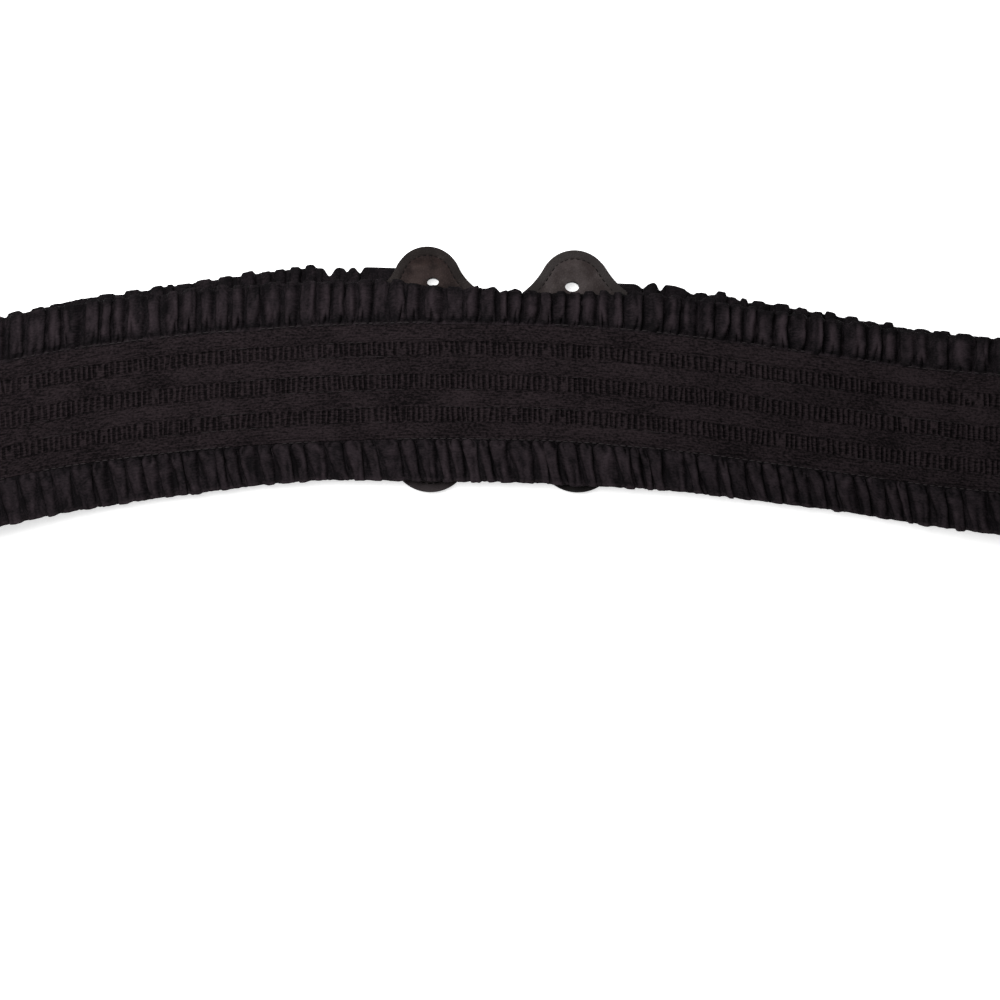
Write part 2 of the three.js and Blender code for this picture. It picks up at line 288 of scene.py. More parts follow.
def buildWeaveGroup():
    # cloth on its own flat layout: threads are two crossing sine waves with the higher one
    # showing, uneven yarn is noise drawn out along the cloth, and specks are short noise
    sockets = {"Vector": None, "Along": 20.0, "Across": 20.0, "Yarn": 1.0, "Speck": 1.0}
    group, given, out = newGroup("clothWeave", sockets, ["Height", "Fleck"])
    vector = given.outputs["Vector"]
    split = group.nodes.new("ShaderNodeSeparateXYZ")
    group.links.new(vector, split.inputs[0])
    waves = []
    for axis, label in ((0, "Along"), (1, "Across")):
        turns = addMath(group, "MULTIPLY", split.outputs[axis], given.outputs[label])
        angle = addMath(group, "MULTIPLY", turns, weaveLook["fullTurn"])
        waves.append(addMath(group, "SINE", angle))
    threads = addMath(group, "MULTIPLY", addMath(group, "MAXIMUM", *waves), weaveLook["threads"])
    yarn = addShare(group, addNoise(group, vector, 1.0, 3.0, weaveLook["yarn"]),
                    given.outputs["Yarn"])
    speck = addShare(group, addNoise(group, vector, 1.0, 2.0, weaveLook["speck"]),
                     given.outputs["Speck"])
    fleck = addMath(group, "ADD", addMath(group, "ADD", yarn, speck), 0.5, True)
    group.links.new(addMath(group, "ADD", threads, fleck), out.inputs["Height"])
    group.links.new(fleck, out.inputs["Fleck"])
    return group


def buildToneGroup():
    # mask = 0.5 + Drift (slow noise - 0.5) + the painted light's share (painted light value - 0.5)
    # + FleckShare (Fleck - 0.5), and the colour goes from Dark to Light with the mask; the painted
    #   light
    # value is the cloth's painted light and shade
    sockets = {"Vector": None, "Dark": (0, 0, 0, 1), "Light": (1, 1, 1, 1), "Size": 30.0,
               "Drift": 1.0, "Wear": 0.5, "WearShare": 0.0, "Fleck": 0.5, "FleckShare": 0.0}
    group, given, out = newGroup("toneDrift", sockets, ["Color", "Mask"])
    noise = group.nodes.new("ShaderNodeTexNoise")
    noise.inputs["Detail"].default_value = 4.0
    group.links.new(given.outputs["Vector"], noise.inputs["Vector"])
    group.links.new(given.outputs["Size"], noise.inputs["Scale"])
    drift = addShare(group, noise.outputs["Fac"], given.outputs["Drift"])
    total = addMath(group, "ADD", drift, 0.5)
    for label in ("Wear", "Fleck"):
        share = addShare(group, given.outputs[label], given.outputs[label + "Share"])
        total = addMath(group, "ADD", total, share, label == "Fleck")
    color = addMix(group, total, given.outputs["Dark"], given.outputs["Light"])
    group.links.new(color, out.inputs["Color"])
    group.links.new(total, out.inputs["Mask"])
    return group


def buildGrainGroup():
    # leather grain: cell borders sunk into the surface, with fine noise
    group, given, out = newGroup("hideGrain", {"Vector": None, "Size": 900.0}, ["Height"])
    cells = group.nodes.new("ShaderNodeTexVoronoi")
    cells.feature = "DISTANCE_TO_EDGE"
    group.links.new(given.outputs["Vector"], cells.inputs["Vector"])
    group.links.new(given.outputs["Size"], cells.inputs["Scale"])
    border = addMath(group, "MULTIPLY", cells.outputs["Distance"], 3.0, True)
    fine = addNoise(group, given.outputs["Vector"], 2600.0, 3.0)
    group.links.new(addMath(group, "ADD", border, addMath(group, "MULTIPLY", fine, 0.5)),
                    out.inputs["Height"])
    return group


weaveGroup, toneGroup, grainGroup = buildWeaveGroup(), buildToneGroup(), buildGrainGroup()


def placeGroup(tree, group, vector, **values):
    node = tree.nodes.new("ShaderNodeGroup")
    node.node_tree = group
    tree.links.new(vector, node.inputs["Vector"])
    for label, value in values.items():
        feedSocket(tree, node.inputs[label], value)
    return node


def startMaterial(name, rough, specular, metal=0.0):
    # what every material begins with: the material, its nodes, its shader and its coordinates
    material = bpy.data.materials.new(name)
    material.use_nodes = True
    tree = material.node_tree
    shader = tree.nodes["Principled BSDF"]
    shader.inputs["Roughness"].default_value = rough
    shader.inputs["Specular IOR Level"].default_value = specular
    shader.inputs["Metallic"].default_value = metal
    return material, tree, shader, tree.nodes.new("ShaderNodeTexCoord")


def addBump(tree, shader, height, depth):
    bump = tree.nodes.new("ShaderNodeBump")
    bump.inputs["Distance"].default_value = depth
    bump.inputs["Strength"].default_value = 1.0
    tree.links.new(height, bump.inputs["Height"])
    tree.links.new(bump.outputs[0], shader.inputs["Normal"])


def readValue(tree, name):
    node = tree.nodes.new("ShaderNodeAttribute")
    node.attribute_name = name
    return node.outputs["Fac"]


def clothMaterial(name, dark, light, along, across, yarn, speck, drift, paintedLightAndBorder, fleck, depth, rough,
                  specular):
    # woven cloth on its own flat layout, whose units are centimetres
    material, tree, shader, coords = startMaterial(name, rough, specular)
    weave = placeGroup(tree, weaveGroup, coords.outputs["UV"], Along=along, Across=across,
                       Yarn=yarn, Speck=speck)
    # the tone also follows the mesh's per-point value of painted light and shade
    tone = placeGroup(tree, toneGroup, coords.outputs["UV"], Dark=(*dark, 1), Light=(*light, 1),
                      Size=weaveLook["toneSize"], Drift=drift, Wear=readValue(tree, "paintedLightAndBorder"),
                      WearShare=paintedLightAndBorder, Fleck=weave.outputs["Fleck"], FleckShare=fleck)
    tree.links.new(tone.outputs["Color"], shader.inputs["Base Color"])
    addBump(tree, shader, weave.outputs["Height"], depth)
    return material


hideLook = {"toneSize": 150.0, "drift": 4.2, "fleck": 0.35, "border": 0.8, "roughSwing": -0.15,
            "roughBase": 0.07}


def hideMaterial(name, dark, light, border, paintedLobeLight, size, depth, rough, specular):
    # leather: grain and slow tone on object coordinates, with a plainer border by the mesh's border
    # value and the bottom lobe's painted light where the lobe value says so; lighter tones are a
    # little glossier
    material, tree, shader, coords = startMaterial(name, rough, specular)
    grain = placeGroup(tree, grainGroup, coords.outputs["Object"], Size=size)
    tone = placeGroup(tree, toneGroup, coords.outputs["Object"], Dark=(*dark, 1), Light=(*light, 1),
                      Size=hideLook["toneSize"], Drift=hideLook["drift"],
                      Fleck=grain.outputs["Height"], FleckShare=hideLook["fleck"])
    rimShare = addMath(tree, "MULTIPLY", readValue(tree, "paintedLightAndBorder"), hideLook["border"])
    edged = addMix(tree, rimShare, tone.outputs["Color"], (*border, 1))
    color = addMix(tree, readValue(tree, "paintedLobeLight"), edged, (*paintedLobeLight, 1))
    tree.links.new(color, shader.inputs["Base Color"])
    swing = addMath(tree, "MULTIPLY", tone.outputs["Mask"], hideLook["roughSwing"])
    tree.links.new(addMath(tree, "ADD", swing, rough + hideLook["roughBase"]),
                   shader.inputs["Roughness"])
    addBump(tree, shader, grain.outputs["Height"], depth)
    return material


# along and across are threads to the centimetre; yarn, speck, drift, the painted light and shade
# value and fleck are the shares of those in the tone, and depth is the bump's in metres
sewing = {"along": 40.0, "across": 10.0, "yarn": 0.5, "speck": 0.5, "paintedLightAndBorder": 0.2, "fleck": 0.4,
          "depth": 0.00005, "rough": 0.7}
finishes = {
    "elastic": {"dark": (0.0029, 0.0021, 0.0025), "light": (0.0187, 0.0134, 0.0152), "along": 22.0,
                "across": 13.0, "yarn": 1.6, "speck": 2.3, "drift": 0.8, "paintedLightAndBorder": 0.85, "fleck": 1.1,
                "depth": 0.00020, "rough": 0.9, "specular": 0.05},
    "ruffle": {"dark": (0.0030, 0.0023, 0.0029), "light": (0.0258, 0.0187, 0.0221), "along": 30.0,
               "across": 30.0, "yarn": 0.6, "speck": 2.0, "drift": 0.8, "paintedLightAndBorder": 0.9, "fleck": 0.5,
               "depth": 0.00010, "rough": 0.8, "specular": 0.07},
    "thread": {"dark": (0.0085, 0.0070, 0.0076), "light": (0.0220, 0.0178, 0.0194), "drift": 1.5,
               "specular": 0.12, **sewing},
    "hideThread": {"dark": (0.0015, 0.0012, 0.0012), "light": (0.006, 0.0048, 0.0048),
                   "drift": 1.0, "specular": 0.1, **sewing},
}
clothOf = {key: clothMaterial(key + "Cloth", **value) for key, value in finishes.items()}
# border is the colour outside the topstitching, the last one the bottom lobe's painted light and
# shade: lighter than the rest on the left lining, darker on the right
lining = {"size": 1100.0, "depth": 0.00006, "rough": 0.72, "specular": 0.15}
hides = {
    "faceHide": {"dark": (0.006, 0.0045, 0.0045), "light": (0.014, 0.011, 0.0105),
                 "border": (0.009, 0.007, 0.007), "paintedLobeLight": (0.009, 0.007, 0.007), "size": 750.0,
                 "depth": 0.00010, "rough": 0.5, "specular": 0.3},
    "liningHideLeft": {"dark": (0.0068, 0.0034, 0.0029), "light": (0.0208, 0.0117, 0.0102),
                       "border": (0.0080, 0.0058, 0.0052), "paintedLobeLight": (0.0300, 0.0235, 0.0250),
                       **lining},
    "liningHideRight": {"dark": (0.0175, 0.0125, 0.0120), "light": (0.0370, 0.0290, 0.0285),
                        "border": (0.0145, 0.0120, 0.0116), "paintedLobeLight": (0.0120, 0.0098, 0.0102),
                        **lining},
}
hideOf = {name: hideMaterial(name, **value) for name, value in hides.items()}


def finishPiece(piece, material, slot, *nodes):
    # material and body of a finished piece, and the nodes that it stands for; slot is not used
    piece.data.materials.clear()
    piece.data.materials.append(material)
    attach(piece, "root")
    if nodes:
        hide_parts(*nodes)


print("materials ready")

# Elastic band

# rows say how far below the top edge each rib row starts and ends, groove is where the lower
# ruffle's seam presses the band in, and the tone values set the flats' level, paint shade into the
# recessed rib rows, the rounded rim and the groove, and paint light and shade by the ripple's swell
band = {"half": 0.9, "width": 40.0, "rows": [(6.3, 10.9), (17.5, 22.6), (28.9, 33.9)],
        "rowEase": 0.5, "recessOut": 0.98, "recessIn": 0.35, "rim": 0.9, "groove": -18.8,
        "grooveDeep": 0.3, "grooveHalf": 0.3, "ripple": 0.11, "flatWear": 0.5, "rowWear": -0.5,
        "rimWear": -0.25, "grooveWear": -0.3, "rippleWear": 0.25, "seed": 5}
# pairs are the lowest and the highest of a random draw; short is the share of slots that start or
# end midway, at shortAt of the row, bound the rows' sewn edges, reach how far a slot may run past
ribs = {"pitch": 1.94, "uneven": 0.13, "depth": 1.0, "deep": (0.72, 1.05), "width": 0.2,
        "wide": (0.8, 1.3), "drift": 0.22, "start": (-0.25, 0.3), "end": (-0.35, 0.3), "short": 0.03,
        "shortAt": (0.35, 0.65), "lift": 0.08, "rise": 0.22, "bound": 0.12, "tilt": 0.3,
        "reach": 0.7, "ribTopLight": (0.62, 0.94), "sunkWear": 0.8, "boundWear": 0.33, "perRib": 9}


def rowMask(t):
    # 1 inside a rib row, 0 on the flat stripes; t is measured from the middle of the band
    down = band["width"] / 2 - t
    mask = np.zeros_like(t)
    for low, high in band["rows"]:
        inside = smoothStep(low - band["rowEase"], low, down)
        mask = np.maximum(mask, inside * (1 - smoothStep(high, high + band["rowEase"], down)))
    return mask


def bandSection():
    # closed section of the band: half * sqrt(1 - (1 - edge)^2) for edge 0 at the rim and 1 inside
    # it, less the recess in the rib rows, with more points near the rows, the rim and the groove
    edges = band["width"] / 2 - np.array(band["rows"]).ravel()
    near = (edges[:, None] + np.array([-0.5, -0.25, 0.0, 0.25, 0.5])).ravel()
    rim = band["width"] / 2 - np.array([0.0, 0.03, 0.12, 0.3, 0.6, 0.9])
    sewn = band["groove"] + np.array([-0.6, -0.3, 0.0, 0.3])
    even = np.linspace(-18.0, 18.5, 24)
    t = np.unique(np.round(np.concatenate([even, near, rim, -rim, sewn]), 3))
    edge = np.clip((band["width"] / 2 - np.abs(t)) / band["rim"], 0, 1)
    n = band["half"] * np.sqrt(np.clip(1 - (1 - edge) ** 2, 0, 1))
    pressed = band["grooveDeep"] * np.exp(-((t - band["groove"]) / band["grooveHalf"]) ** 2)
    outer = n - band["recessOut"] * rowMask(t) - pressed
    inner = -n + band["recessIn"] * rowMask(t)
    return np.concatenate([t, t[::-1][1:-1]]), np.concatenate([outer, inner[::-1][1:-1]])


def makeBand():
    # the section carried along the path, with a ripple of its own at nine heights and blended
    # between them
    rng = np.random.default_rng(band["seed"])
    s = stopsAlong(0.0, beltLength, 1.5, 0.8)
    t, n = bandSection()
    ripple = np.stack([smoothNoise(rng, len(s), 3) for _ in range(9)], 0)
    spot = np.clip((t + band["width"] / 2) / band["width"] * 8, 0, 7.999)
    low = spot.astype(int)
    wave = ripple[low].T * (1 - spot + low) + ripple[low + 1].T * (spot - low)
    swell = band["ripple"] * wave * np.sign(n) * np.minimum(1, np.abs(n) / 0.5)
    points = onBelt(s[:, None], t[None, :], n[None, :] + swell)
    uv = joinUp(s[:, None] / 10, t[None, :] / 10)
    # painted shade in the rib rows, at the rim and in the groove, painted light on the ripple's
    # swells
    bandLightAndShade = band["flatWear"] + band["rowWear"] * rowMask(t)
    bandLightAndShade = bandLightAndShade + band["rimWear"] * (np.abs(t) > band["width"] / 2 - 0.3)
    bandLightAndShade = bandLightAndShade + band["grooveWear"] * (np.abs(t - band["groove"]) < 0.2)
    paintedLightAndBorder = np.clip(bandLightAndShade[None, :] + band["rippleWear"] * wave, 0, 1)
    return makePiece("elasticWeb", points, gridFaces(len(s), len(t), True), uv, paintedLightAndBorder)


def makeRibs(index, low, high):
    # rib row: height = half - depth * bell(distance from the slot) * window(start, end) for each
    # slot, so two ribs are parted over a length of their own and run on into the flat stripes
    rng = np.random.default_rng(band["seed"] + 10 * index)
    count = int(beltLength / ribs["pitch"])
    steps = 1 + ribs["uneven"] * np.clip(rng.normal(size=count), -2, 2)
    places = np.cumsum(ribs["pitch"] * steps)
    places *= (beltLength - 1.0) / places[-1]
    k = np.arange((count - 1) * ribs["perRib"]) / ribs["perRib"]
    blend = lambda values: np.interp(k, np.arange(count), values)[:, None]
    s, phase, slot = blend(places), k % 1.0, np.rint(k).astype(int)
    first, last = low - ribs["reach"], high + ribs["reach"]
    down = np.concatenate([[first], np.linspace(first + 0.12, last - 0.12, 17), [last]])[None, :]
    drift = ribs["drift"] * smoothNoise(rng, count, 4)
    start = low + rng.uniform(*ribs["start"], count) + drift
    end = high + rng.uniform(*ribs["end"], count) + drift
    odd, middle = rng.random(count), rng.uniform(*ribs["shortAt"], count)
    start = np.where(odd < ribs["short"], low + (high - low) * middle, start)
    end = np.where(odd > 1 - ribs["short"], low + (high - low) * middle, end)
    deep = ribs["depth"] * rng.uniform(*ribs["deep"], count)
    wide = ribs["width"] * rng.uniform(*ribs["wide"], count)
    bell = np.exp(-0.5 * (np.minimum(phase, 1 - phase) / wide[slot]) ** 4)
    window = (smoothStep(-0.15, 0.3, down - start[slot][:, None])
              * smoothStep(-0.15, 0.3, end[slot][:, None] - down))
    sunk = deep[slot][:, None] * bell[:, None] * window
    inRow = smoothStep(low - 0.3, low + 0.6, down) * (1 - smoothStep(high - 0.6, high + 0.3, down))
    rise = blend(rng.uniform(0.0, ribs["rise"], count))
    bound = np.exp(-((down - low) / 0.25) ** 2) + np.exp(-((down - high) / 0.25) ** 2)
    n = band["half"] + ribs["lift"] + rise * inRow - sunk - ribs["bound"] * bound
    n[:, [0, -1]] -= 0.25
    tilt = blend(rng.normal(size=count)) * ribs["tilt"]
    half = (high - low) / 2
    along = s + tilt * (down - low - half) / (2 * half)
    t = band["width"] / 2 - down + 0 * n
    # rib tops painted lighter than the flats, by a random amount for each rib
    ribTopLight = blend(rng.uniform(*ribs["ribTopLight"], count))
    # painted shade in the slots and along the rows' sewn edges
    paintedLightAndBorder = 0.5 + (ribTopLight - 0.5) * inRow - sunk * ribs["sunkWear"] - ribs["boundWear"] * bound
    name = "ribRow%d" % (index + 1)
    faces, uv = gridFaces(len(s), n.shape[1], False), joinUp(s / 10, t / 10)
    return makePiece(name, onBelt(along, t, n), faces, uv, np.clip(paintedLightAndBorder, 0, 1), closed=False)


finishPiece(makeBand(), clothOf["elastic"], "shirred_elastic", "elastic_band")
for index, (low, high) in enumerate(band["rows"]):
    finishPiece(makeRibs(index, low, high), clothOf["elastic"], "shirred_elastic")
print("band and ribs made")

# Ruffles

# ends are where the strip begins and ends, foldBack and foldFront the folds' width on each half,
# rows the points from the seam at 0 to the hem at 1. In upper and lower: lean of the folds at the
# hem, wedge and hemHold close a gap towards the hem, hemHold also paints a highlight on the held
# hem, step and rise are the hem's uneven height, tone and midTone the brightness by place, gapShade
# the painted shade in the gaps, middleLight the painted light on the pillars' middle height, ridge
# the painted highlight on the crest, rootDark the painted shade at the seam with a painted light
# line below it, pull how near a gap's walls come, trough its depth, feet the height of a crest's
# two legs, rightRidgeLight widens the ridges towards the right and paints their light narrower and
# brighter there, drop widens a gap's painted shade before the hem, and dips in the hem have a place
# along the belt, a depth (less than 0 where it rises) and a half width
ruffle = {
    "seam": 19.2, "root": 20.5, "ends": (33.5, 35.0), "foldBack": 5.8, "foldFront": 6.7,
    "uneven": 0.28, "crest": 1.3, "thick": 0.62, "perFold": 20, "limit": 1.66, "crumple": 0.28,
    "ridgeHalf": 0.48, "ridgeHigh": 0.4, "footDeep": 1.5, "creaseDeep": 0.55, "creaseWear": 0.3,
    "swing": (-0.8, 0.8), "wavy": 0.12, "crumpleWear": 0.2, "lightSpan": (0.82, -0.01),
    "rows": [-0.07, -0.02, 0.02, 0.06, 0.1, 0.14, 0.19, 0.25, 0.32, 0.4, 0.49, 0.58, 0.67, 0.76, 0.84,
             0.9, 0.945, 0.975, 1.0],
    "upper": {"seed": 21, "lean": 0.3, "wedge": 0.0, "hemHold": 0.0, "step": 0.75, "rise": 0.55,
              "tone": 0.0, "midTone": 0.0, "gapShade": 0.15, "middleLight": 0.5, "ridge": 0.46,
              "rootDark": 0.35, "pull": (0.1, 0.6), "trough": -1.45, "feet": 0.6, "rightRidgeLight": 0.24,
              "drop": 0.0,
              "dips": {"front": [(-131.0, 0.8, 8.0), (-60.3, 2.9, 1.3), (-54.0, 1.5, 1.2),
                                 (-49.7, 2.0, 1.1), (49.5, 1.6, 1.8), (55.0, 2.2, 1.5),
                                 (57.0, -0.6, 6.0), (68.7, 1.9, 4.5), (86.0, 1.0, 5.0)],
                       "back": [(-8.8, -0.9, 2.6), (-3.1, -1.2, 1.9), (0.0, 0.6, 1.3),
                                (2.8, -0.5, 1.4), (6.6, 0.7, 1.6)]}},
    "lower": {"seed": 34, "lean": 2.9, "wedge": 0.65, "hemHold": 0.75, "step": 0.28, "rise": 0.45,
              "tone": 0.34, "midTone": 0.2, "gapShade": -0.12, "middleLight": 0.06, "ridge": 0.34,
              "rootDark": 0.0, "pull": (0.35, 0.65), "trough": -1.6, "feet": 0.35, "rightRidgeLight": 0.0,
              "drop": 0.28, "dips": {"front": [], "back": []}},
}


def flatWave(turn):
    # sine-like wave with flat crests and steep sides: (1 + e) c / (|c| + e) for e = 0.2 and
    # c = cos(2 pi turn)
    c = np.cos(2 * np.pi * turn)
    return 1.2 * c / (np.abs(c) + 0.2)


def crumple(rng, s, v, reach, levels):
    # smooth seeded noise over the strip: noise along it at a few heights, blended between them
    knots = np.arange(s[0] - 4 * reach, s[-1] + 4 * reach, reach)
    bands = np.stack([np.interp(s, knots, rng.normal(size=len(knots))) for _ in range(levels)], 1)
    spot = np.clip(v, 0, 0.9999) * (levels - 1)
    low = spot.astype(int)
    ease = smoothStep(0, 1, spot - low)
    return bands[:, low] * (1 - ease) + bands[:, low + 1] * ease


def foldPlaces(rng, first, last):
    # edges of folds of uneven width, one after the other along the path, and k at each place s:
    # its whole part is the fold's number and the rest the share of the fold that is behind
    many = int(beltLength / ruffle["foldBack"]) + 20
    random = rng.normal(size=many).clip(-1.8, 1.8)
    edges = [first - 3.0]
    for part in random:
        size = ruffle["foldFront"] if pathAt("front", edges[-1]) > 0.5 else ruffle["foldBack"]
        edges.append(edges[-1] + size * (1 + ruffle["uneven"] * part))
    k = np.arange((many - 1) * ruffle["perFold"]) / ruffle["perFold"]
    s = np.interp(k, np.arange(many + 1), edges)
    keep = (s > first) & (s < last)
    s, k = np.concatenate([[first], s[keep], [last]]), np.concatenate([[0], k[keep], [0]])
    k[0], k[-1] = np.interp([first, last], edges, np.arange(many + 1))
    return s, k, np.array(edges)


def ruffleSurface(side, made):
    # gathered strip. Within a fold of turn 0 to 1 the cloth goes from the bottom of one gap over
    # the pillar to the next gap: n = trough + (crest - trough) (1 + flatWave(turn - 0.5)) / 2, and
    # it is carried along by -pull / 2 pi sin(2 pi turn), which draws the gap's two walls together
    rng = np.random.default_rng(made["seed"])
    first = ruffle["ends"][0] - beltPath["panelEnd"]
    last = beltLength - (ruffle["ends"][1] - beltPath["panelEnd"])
    s, k, edges = foldPlaces(rng, first, last)
    turn, pillar, gap = k % 1.0, k.astype(int), np.rint(k).astype(int)
    width = np.diff(edges)[pillar][:, None]
    v = np.array(ruffle["rows"])[None, :]
    vIn = np.clip(v, 0, 1)
    x, front = pathAt("x", s), pathAt("front", s)[:, None]
    full = np.where(front < 0.5, 1.0, smoothStep(45, 53, np.abs(x))[:, None])
    pick = lambda low, high, at: rng.uniform(low, high, len(edges) + 1)[at][:, None]
    pull = pick(*made["pull"], gap) - made["wedge"] * (smoothStep(0.1, 0.85, vIn) - 0.5)
    pull = pull * (1 - 1.5 * front)
    trough = made["trough"] * pick(0.7, 1.0, gap) + pick(0.0, 1.0, gap) ** 4 * 1.5
    crest = ruffle["crest"] * pick(0.6, 1.0, pillar)
    hold = 1 - made["hemHold"] * smoothStep(0.8, 0.93, vIn)
    grow = smoothStep(-0.04, 0.07, v) * full
    wave = (1 + flatWave(turn - 0.5))[:, None] / 2
    shown = wave * (1 - front) + (1 - wave) * front
    n = (trough * hold + (crest - trough * hold) * wave) * grow
    # ridge: the pillar's sharp crest, which parts into two legs near the seam like a letter A,
    # leg * (1 - v / top) away from the ridge line, with a hollow between them
    middle = (turn[:, None] - 0.5) * width
    off = middle - pick(-0.12, 0.22, pillar) * width
    legs = pick(0.5, 1.5, pillar) * np.clip(1 - vIn / pick(0.15, made["feet"], pillar), 0, 1)
    rightRidgeLight = made["rightRidgeLight"] * smoothStep(15, 60, x)[:, None]
    bold = ruffle["ridgeHalf"] + rightRidgeLight
    ridge = np.maximum(np.exp(-((off - legs) / bold) ** 2), np.exp(-((off + legs) / bold) ** 2))
    ridge = ridge * pick(0.4, 1.0, pillar) * (1 - front)
    foot = np.exp(-(off / (0.6 * legs + 0.05)) ** 2) * smoothStep(0.1, 0.6, legs) * (1 - front)
    n = n + (ruffle["ridgeHigh"] * ridge - ruffle["footDeep"] * foot) * grow
    # creases: a shallow second fold on the wider pillars
    crease = np.exp(-((middle + pick(-1.3, 1.3, pillar) + 1.2 * (vIn - 0.5)) / 0.45) ** 2)
    crease = crease * smoothStep(5.4, 6.6, width) * smoothStep(0.25, 0.5, vIn)
    n = n - ruffle["creaseDeep"] * crease * grow * (1 - 2 * front)
    rough = crumple(rng, s, v[0], 1.0, 8)
    n = np.clip(n + ruffle["crumple"] * rough * grow, -ruffle["limit"], ruffle["limit"])

    def swing():
        # a draw for each gap and one for each pillar, blended from the one to the other
        inGap = pick(*ruffle["swing"], gap) * (1 - shown)
        return inGap + pick(*ruffle["swing"], pillar) * shown

    # sideways: the gaps' pull, the folds' lean and bow, and small crumples
    carried = -pull * width / (2 * np.pi) * np.sin(2 * np.pi * turn)[:, None] * grow
    lean = made["lean"] + swing()
    carried = carried + (lean * vIn + swing() * np.sin(np.pi * vIn)) * full * (1 - front)
    carried = carried + ruffle["wavy"] * crumple(rng, s, v[0], 1.7, 5) * grow
    # hem: the table's height, steps from pillar to pillar with the gaps a little lower, and dips
    base = alongBelt("upper" if side > 0 else "lower", x)[:, None]
    step = made["step"]
    tall = np.where(front > 0.5, pick(-1.2, 0.9, gap), pick(-1.1, 0.9, pillar)) * step
    wavy = ruffle["wavy"] * crumple(rng, s, np.array([0.5]), 0.9, 2)
    hem = base + full * (made["rise"] + tall * shown - 0.9 * step * (1 - shown) + wavy)
    for part, inPart in (("front", front > 0.5), ("back", front < 0.5)):
        for place, depth, half in made["dips"][part]:
            hem = hem - depth * np.exp(-((x - place) / half) ** 2)[:, None] * inPart
    root = ruffle["root"]
    t = np.where(v < -0.05, ruffle["seam"], root + v * (band["width"] / 2 + hem - root))
    along = np.clip(s[:, None] + carried, first, last)
    # tone: painted light and shade. The pillars are painted lit and the gaps dark. The pillars'
    # middle height is painted lit, less on the front half. The feet, creases and the seam's root are
    # painted dark, with a painted light line below the root. Crumples are painted lighter where they
    # stand out, and the ridges and a held hem get painted highlights, besides a random tone for each
    # pillar. Towards the right end the painted lit part of a pillar is slimmer and its ridge
    # brighter, and a gap's painted shade may widen like a drop just before the hem
    drop = made["drop"] * smoothStep(0.4, 0.82, vIn) * smoothStep(1.0, 0.88, vIn)
    litPillar = smoothStep(0.25, 0.75, shown - rightRidgeLight - drop)
    litMiddle = smoothStep(1.02, 0.68, vIn) * smoothStep(-0.02, 0.4, vIn)
    # painted light on the pillars' middle height, less on the front half, and a random tone per
    # pillar
    tone = made["tone"] + made["middleLight"] * litMiddle * (1 - 0.7 * front) + pick(-0.12, 0.12, pillar)
    # midTone lightens the belt's middle; towards the right the rest of a pillar is painted darker
    tone = tone + made["midTone"] * (np.exp(-((x / 50) ** 2)) - 0.25)[:, None] - 0.7 * rightRidgeLight
    # painted shade in the gaps and at the feet
    paintedLightAndBorder = (made["gapShade"] + (1 - made["gapShade"]) * litPillar) * (1 - 0.9 * foot) * tone
    # painted light where crumples stand out, painted shade in the creases
    paintedLightAndBorder = paintedLightAndBorder + ruffle["crumpleWear"] * rough - ruffle["creaseWear"] * crease
    # painted highlight on the ridges
    paintedLightAndBorder = paintedLightAndBorder + (made["ridge"] + 1.6 * rightRidgeLight) * ridge * (0.3 + 0.7 * litMiddle)
    # painted highlight on the held hem
    paintedLightAndBorder = paintedLightAndBorder + 0.3 * smoothStep(0.9, 0.94, vIn) * (made["hemHold"] > 0)
    # painted shade at the seam's root, and a painted light line below it
    paintedLightAndBorder = paintedLightAndBorder - made["rootDark"] * np.exp(-((v - 0.08) / 0.04) ** 2)
    paintedLightAndBorder = paintedLightAndBorder + 1.4 * made["rootDark"] * smoothStep(0.05, 0.0, v)
    paintedLightAndBorder = ruffle["lightSpan"][0] * np.clip(paintedLightAndBorder, 0, 1) + ruffle["lightSpan"][1]
    # a brighter painted highlight on the ridges near the right end
    paintedLightAndBorder = paintedLightAndBorder + 1.4 * rightRidgeLight * np.exp(-((x - 88) / 42) ** 2)[:, None] * ridge * litMiddle
    return s, v[0], along, side * t, n, np.clip(paintedLightAndBorder, 0, 1)


def shellAround(middle, half):
    # two skins of one cloth: the middle surface moved both ways along its own normals
    normal = toUnit(np.cross(np.gradient(middle, axis=0), np.gradient(middle, axis=1)))
    return middle + normal * half / 1000, middle - normal * half / 1000


def makeRuffle(name, side, made, node):
    # the strip as a thin shell, thinner at its hem: thick / 2 * sqrt(1 - end^2) over the last rows
    s, v, along, t, n, paintedLightAndBorder = ruffleSurface(side, made)
    middle = onBelt(along, t, n)
    end = np.clip((v - 0.93) / 0.07, 0, 1)
    half = ruffle["thick"] / 2 * np.sqrt(np.clip(1 - end**2, 0.02, 1))
    top, under = shellAround(middle, half[None, :, None])
    points = np.concatenate([top, under[:, ::-1]], 1)
    flatV = np.concatenate([v, v[::-1]])
    uv = joinUp(s[:, None] * 0.17, flatV[None, :] * 1.45)
    bothWear = np.concatenate([paintedLightAndBorder, paintedLightAndBorder[:, ::-1]], 1)
    piece = makePiece(name, points, gridFaces(len(s), points.shape[1], True), uv, bothWear)
    finishPiece(piece, clothOf["ruffle"], "ruffle_cloth", node)


makeRuffle("ruffleUpper", 1, ruffle["upper"], "ruffle_upper")
makeRuffle("ruffleLower", -1, ruffle["lower"], "ruffle_lower")
print("ruffles made")

# Stitches

